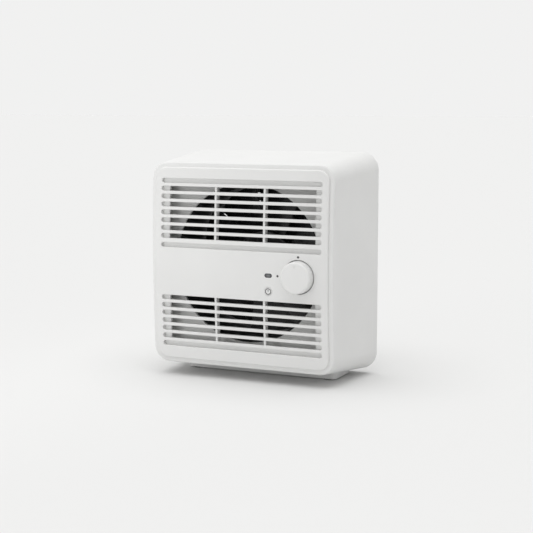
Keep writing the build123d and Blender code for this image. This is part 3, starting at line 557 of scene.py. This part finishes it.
def screws(node, outwards, head, shank):
    places, length = screw_places(node, outwards, head[1])
    mesh = bpy.data.meshes.new(node + "_places")
    mesh.from_pydata(places, [], [])
    holder = bpy.data.objects.new(node + "_places", mesh)
    link(holder)
    modifier = holder.modifiers.new("screws", "NODES")
    modifier.node_group = screw_nodes
    values = {"Head Diameter": head[0], "Head Height": head[1], "Shank Diameter": shank,
              "Shank Length": length, "Outwards": outwards}
    for socket in screw_nodes.interface.items_tree:
        if socket.name in values:
            modifier[socket.identifier] = values[socket.name]
    depsgraph = bpy.context.evaluated_depsgraph_get()
    shape = bpy.data.meshes.new_from_object(holder.evaluated_get(depsgraph))
    bpy.data.objects.remove(holder)
    shape.name = node + "_made"
    shape.polygons.foreach_set("use_smooth", [True] * len(shape.polygons))
    shape.set_sharp_from_angle(angle=SCREW_SHARP)
    piece = bpy.data.objects.new(node + "_made", shape)
    link(piece)
    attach(piece, "housing")
    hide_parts(node)
    print(node, len(places), "screws,", len(shape.polygons), "faces")


screws("cover_screws", (0, 1, 0), LARGE_HEAD, LARGE_SHANK)
screws("frame_screws", (0, 1, 0), LARGE_HEAD, LARGE_SHANK)
screws("shroud_screws", (0, -1, 0), LARGE_HEAD, LARGE_SHANK)
screws("plinth_screws", (0, 0, -1), LARGE_HEAD, LARGE_SHANK)
screws("board_screws", (0, 1, 0), SMALL_HEAD, SMALL_SHANK)

# %% [markdown]
# ## The smoked lamp lens
# The lamp sits behind a pill of dark, clear plastic. Its middle is painted a little paler than the rim:
# painted light, since the lamp itself gives no light here. Real glass could be traced, but it would
# hardly show at this size. A round gradient about the lens's own middle paints that paler middle, and a
# coat gives the polish.

# %% Lens
PAINTED_GLOW_REACH = Vector((5.0, 5.0, 3.2)) * MM
LENS_RIM, LENS_PAINTED_GLOW = (0.055, 0.056, 0.06), (0.14, 0.145, 0.15)
LENS_ROUGHNESS, LENS_COAT = 0.16, 0.4

lens_paint, tree, links, shader = blank("smoked_lens")
where = tree.new("ShaderNodeTexCoord")
centre = tree.new("ShaderNodeMapping")
centre.vector_type = "TEXTURE"
centre.inputs["Location"].default_value = middle_of("indicator_lens")
centre.inputs["Scale"].default_value = PAINTED_GLOW_REACH
links.new(where.outputs["Object"], centre.inputs["Vector"])
# Painted light: the lens colour runs from the dark rim to a paler middle, though no lamp lights it.
painted_glow = tree.new("ShaderNodeTexGradient")
painted_glow.gradient_type = "SPHERICAL"
links.new(centre.outputs["Vector"], painted_glow.inputs["Vector"])
lens_colour = tint(tree, links, painted_glow.outputs["Fac"], LENS_RIM, LENS_PAINTED_GLOW)
links.new(lens_colour, shader.inputs["Base Color"])
shader.inputs["Roughness"].default_value = LENS_ROUGHNESS
shader.inputs["Coat Weight"].default_value = LENS_COAT
skin("indicator_lens", "housing", lens_paint)

# %% [markdown]
# ## Printed marks
# The dial has two dots, at twelve and nine o'clock, and the button carries the usual power mark. On
# the real fan they are pad printed: a film of ink a few hundredths of a millimetre thick. A picture
# on the panel could show them, but its edges would blur close up. Each mark is drawn flat instead and
# then dropped on to the surface with rays, so it follows the crown of the panel.

# %% Ink that follows the surface
INK = 0.04 * MM
RAY_START, INWARDS = -1.0, Vector((0, 1, 0))
ink_paint = moulded(
    "grey_ink", (0.06, 0.06, 0.063), 0.55, cloud=0.15, grain=2500, depth=0.006 * MM)


def printed(name, node, body, flat_points, faces):
    """A film over a node's front, from points (x, z) and the faces between them."""
    solid = nodes[node].data
    surface = BVHTree.FromPolygons(
        [v.co for v in solid.vertices], [p.vertices[:] for p in solid.polygons])
    points = []
    for x, z in flat_points:
        hit = surface.ray_cast(Vector((x, RAY_START, z)), INWARDS)[0]
        points.append((x, hit.y - INK, z))
    mesh = bpy.data.meshes.new(name)
    mesh.from_pydata(points, [], faces)
    mesh.materials.append(ink_paint)
    piece = bpy.data.objects.new(name, mesh)
    link(piece)
    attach(piece, body)
    print(name, len(faces), "faces")


def ring(x, z, inner, outer, steps):
    """Flat ring about (x, z) as points and faces, anticlockwise from the X axis."""
    points, faces = [], []
    for i in range(steps + 1):
        angle = 2 * pi * i / steps
        points += [(x + r * cos(angle), z + r * sin(angle)) for r in (inner, outer)]
        if i:
            a = 2 * (i - 1)
            faces.append((a, a + 1, a + 3, a + 2))
    return points, faces


print("ink film", round(INK / MM, 3), "mm")

# %% Two dots at the dial
DOT_R, DOT_MIDDLE_R, DOT_STEPS = 1.3 * MM, 0.02 * MM, 28
TWELVE_REACH, NINE_REACH = 21.6 * MM, 24.1 * MM

dial = middle_of("dial_knob")
for name, x, z in (("dot_twelve", dial.x, dial.z + TWELVE_REACH),
                   ("dot_nine", dial.x - NINE_REACH, dial.z)):
    points, faces = ring(x, z, DOT_MIDDLE_R, DOT_R, DOT_STEPS)
    printed(name, "front_panel", "housing", points, faces)

# %% Power mark on the button
MARK_R, LINE, MARK_STEPS = 3.5 * MM, 0.85 * MM, 48
BAR_LOW, BAR_HIGH = -0.1 * MM, 2.1 * MM

button = middle_of("power_button")
points, faces = ring(button.x, button.z, MARK_R - LINE, MARK_R, MARK_STEPS)
first = len(points)
bar_left, bar_right = button.x - LINE / 2, button.x + LINE / 2
foot, head = button.z + BAR_LOW, button.z + BAR_HIGH
points += [(bar_left, foot), (bar_right, foot), (bar_right, head), (bar_left, head)]
faces.append((first, first + 1, first + 2, first + 3))
printed("power_mark", "power_button", "button", points, faces)

# %% [markdown]
# ## The solids inside
# The motor, board and leads hardly show through the slots. They could get skins too, but their solids
# have the right shape as they are, so they stay and only take a finish.

# %% Finishes for the solids that stay
FINISH = {
    "dial_spindle": spindle_steel, "rotary_switch": switch_black, "indicator_led": led_clear,
    "tact_switch": switch_black, "control_board": green_board, "rotor_yoke": yoke_steel,
    "rotor_magnet": ferrite, "shaft": spindle_steel, "shaft_clip": spindle_steel,
    "bearing_tube": tube_brass, "front_bearing": bearing_steel, "rear_bearing": bearing_steel,
    "stator_core": lamination_steel, "stator_coils": copper_winding, "motor_board": green_board,
    "inlet_nut": bearing_steel, "inlet_lead": lead_sleeve, "motor_lead": lead_sleeve,
}
for node, paint in FINISH.items():
    slots = nodes[node].data.materials
    slots.clear()
    slots.append(paint)
print("solids painted", len(FINISH))
